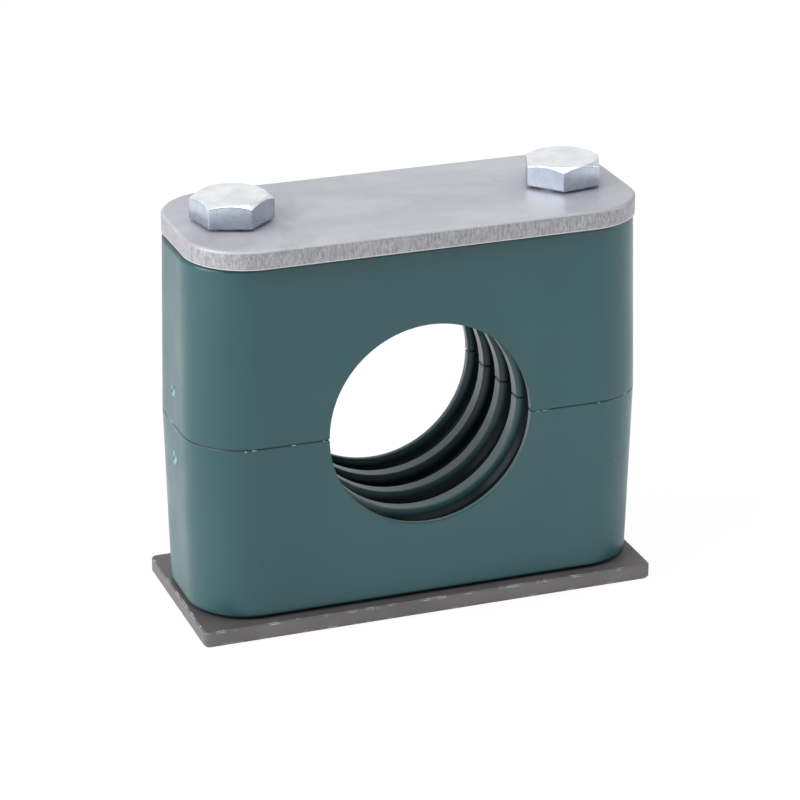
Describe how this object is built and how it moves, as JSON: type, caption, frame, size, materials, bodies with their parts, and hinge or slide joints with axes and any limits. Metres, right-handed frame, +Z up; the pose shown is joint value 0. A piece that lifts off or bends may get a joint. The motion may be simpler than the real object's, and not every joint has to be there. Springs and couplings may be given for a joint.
{
  "type": "hydraulic tube clamp",
  "caption": "Two-bolt tube clamp: a split plastic body with a ribbed bore, a cover plate under hexagon bolts, and a flat steel plate to weld on.",
  "frame": {"origin": "centre of the weld plate's underside", "axes": "+X along the plate from the left bolt to the right bolt, +Y along the tube, +Z up, away from the surface the plate is welded to"},
  "size_m": [0.0718, 0.0294, 0.065],
  "materials": {
    "dark_steel": "phosphated sheet steel, brown-grey, edges worn bright",
    "turned_steel": "turned steel with fine lathe lines",
    "green_plastic": "moulded polypropylene, dark grey-green, satin",
    "grey_zinc": "zinc-plated sheet steel, pale grey, matt and faintly mottled",
    "bright_zinc": "bright zinc plating on forged steel"
  },
  "bodies": {
    "base": {"weld_plate": "dark_steel", "threaded_collar_left": "turned_steel", "threaded_collar_right": "turned_steel", "lower_half": "green_plastic"},
    "clamp_top": {"upper_half": "green_plastic", "cover_plate": "grey_zinc"},
    "left_bolt": {"bolt_left": "bright_zinc"},
    "right_bolt": {"bolt_right": "bright_zinc"}
  },
  "joints": [
    {"name": "clamp_opening", "type": "slide", "parent": "base", "child": "clamp_top", "axis": [0, 0, 1], "range_m": [0, 0.00635]},
    {"name": "left_bolt_turn", "type": "hinge", "parent": "clamp_top", "child": "left_bolt", "pos_m": [-0.026, 0, 0.06105], "axis": [0, 0, 1], "range_deg": [0, 1800]},
    {"name": "right_bolt_turn", "type": "hinge", "parent": "clamp_top", "child": "right_bolt", "pos_m": [0.026, 0, 0.06105], "axis": [0, 0, 1], "range_deg": [0, 1800]}
  ],
  "couplings": [
    {"joint": "left_bolt_turn", "follows": "clamp_opening", "rad_per_m": 4947.4},
    {"joint": "right_bolt_turn", "follows": "clamp_opening", "rad_per_m": 4947.4}
  ]
}
